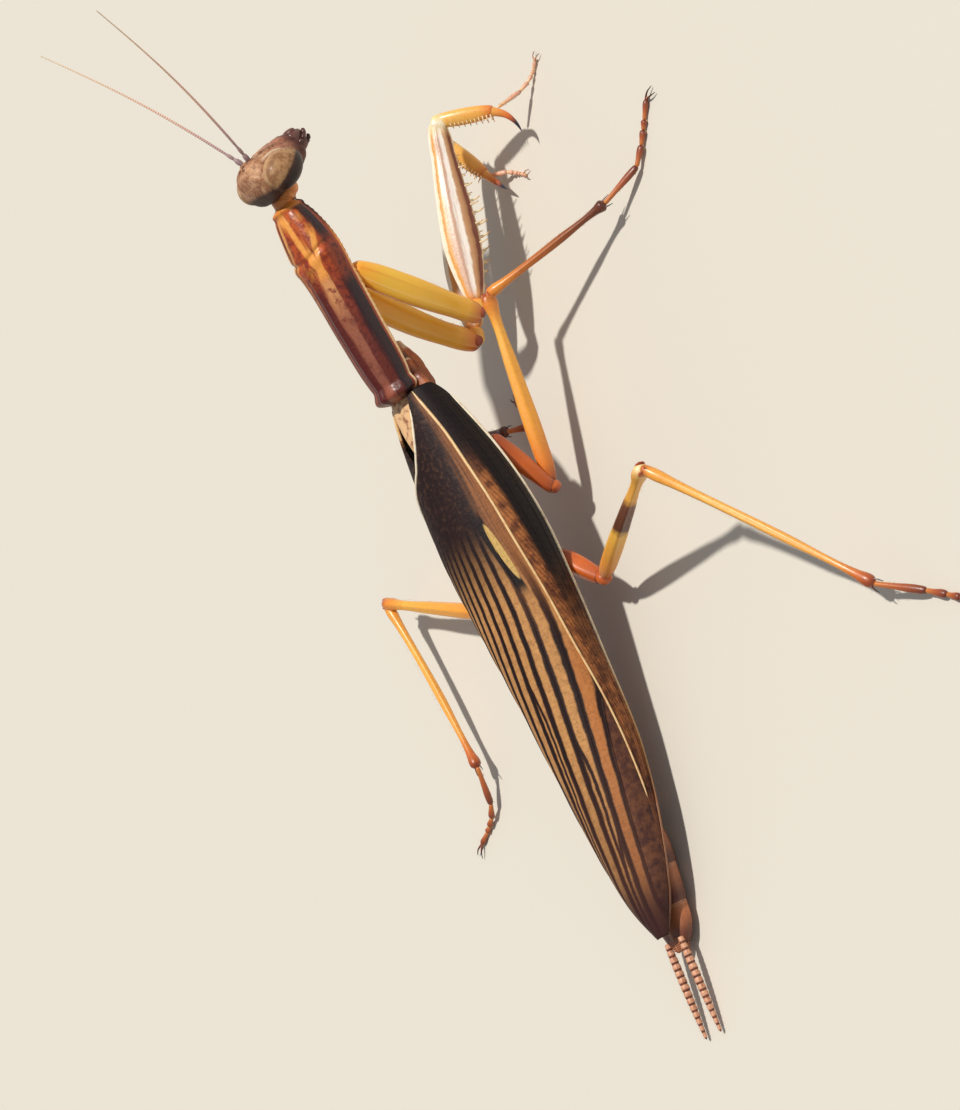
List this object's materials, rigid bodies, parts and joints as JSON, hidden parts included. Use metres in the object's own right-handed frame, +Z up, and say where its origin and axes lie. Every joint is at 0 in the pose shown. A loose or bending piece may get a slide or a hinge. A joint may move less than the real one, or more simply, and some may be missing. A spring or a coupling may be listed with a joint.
{
  "type": "praying mantis",
  "caption": "Life-size brown praying mantis model with folded wings, standing on its walking legs with both spiny grasping forelegs reaching forward.",
  "frame": {"origin": "on the floor, under the middle of the bounding box", "axes": "+X forward, the way the head points; +Y to the insect's left; +Z up"},
  "size_m": [0.1041, 0.084, 0.0479],
  "materials": {
    "head": "mottled olive-tan cuticle",
    "eyes": "tan faceted eye, darker behind",
    "mouthparts": "dark purple-brown",
    "antennae": "grey-brown thread, cream at the tip",
    "neck": "brown membrane",
    "pronotum": "orange-brown with a pale keel and dark sides",
    "thorax": "brown",
    "abdomen": "orange-brown rings",
    "cerci": "cream with dark rings",
    "forewings": "brown leathery wing with tan stripes between the veins",
    "hindwings": "dark brown folded membrane",
    "coxae": "orange-brown",
    "walking_legs": "golden orange",
    "tarsi": "red-brown",
    "fore_coxae": "golden yellow with dark tips",
    "fore_femora": "cream with tan stripes",
    "fore_tibiae": "cream and orange with a dark hook",
    "fore_tarsi": "pinkish tan"
  },
  "bodies": {
    "root": {"head": "head", "eye_left": "eyes", "eye_right": "eyes", "mouthparts": "mouthparts", "antenna_left": "antennae", "antenna_right": "antennae", "neck": "neck", "pronotum": "pronotum", "thorax": "thorax", "abdomen": "abdomen", "cercus_left": "cerci", "cercus_right": "cerci", "forewing_right": "forewings", "forewing_left": "forewings", "hindwings": "hindwings", "coxa_mid_right": "coxae", "femur_mid_right": "walking_legs", "tibia_mid_right": "walking_legs", "tarsus_mid_right": "tarsi", "coxa_mid_left": "coxae", "femur_mid_left": "walking_legs", "tibia_mid_left": "walking_legs", "tarsus_mid_left": "tarsi", "coxa_hind_right": "coxae", "femur_hind_right": "walking_legs", "tibia_hind_right": "walking_legs", "tarsus_hind_right": "tarsi", "coxa_hind_left": "coxae", "femur_hind_left": "walking_legs", "tibia_hind_left": "walking_legs", "tarsus_hind_left": "tarsi", "coxa_fore_right": "fore_coxae", "femur_fore_right": "fore_femora", "tibia_fore_right": "fore_tibiae", "tarsus_fore_right": "fore_tarsi", "coxa_fore_left": "fore_coxae", "femur_fore_left": "fore_femora", "tibia_fore_left": "fore_tibiae", "tarsus_fore_left": "fore_tarsi"}
  },
  "joints": []
}
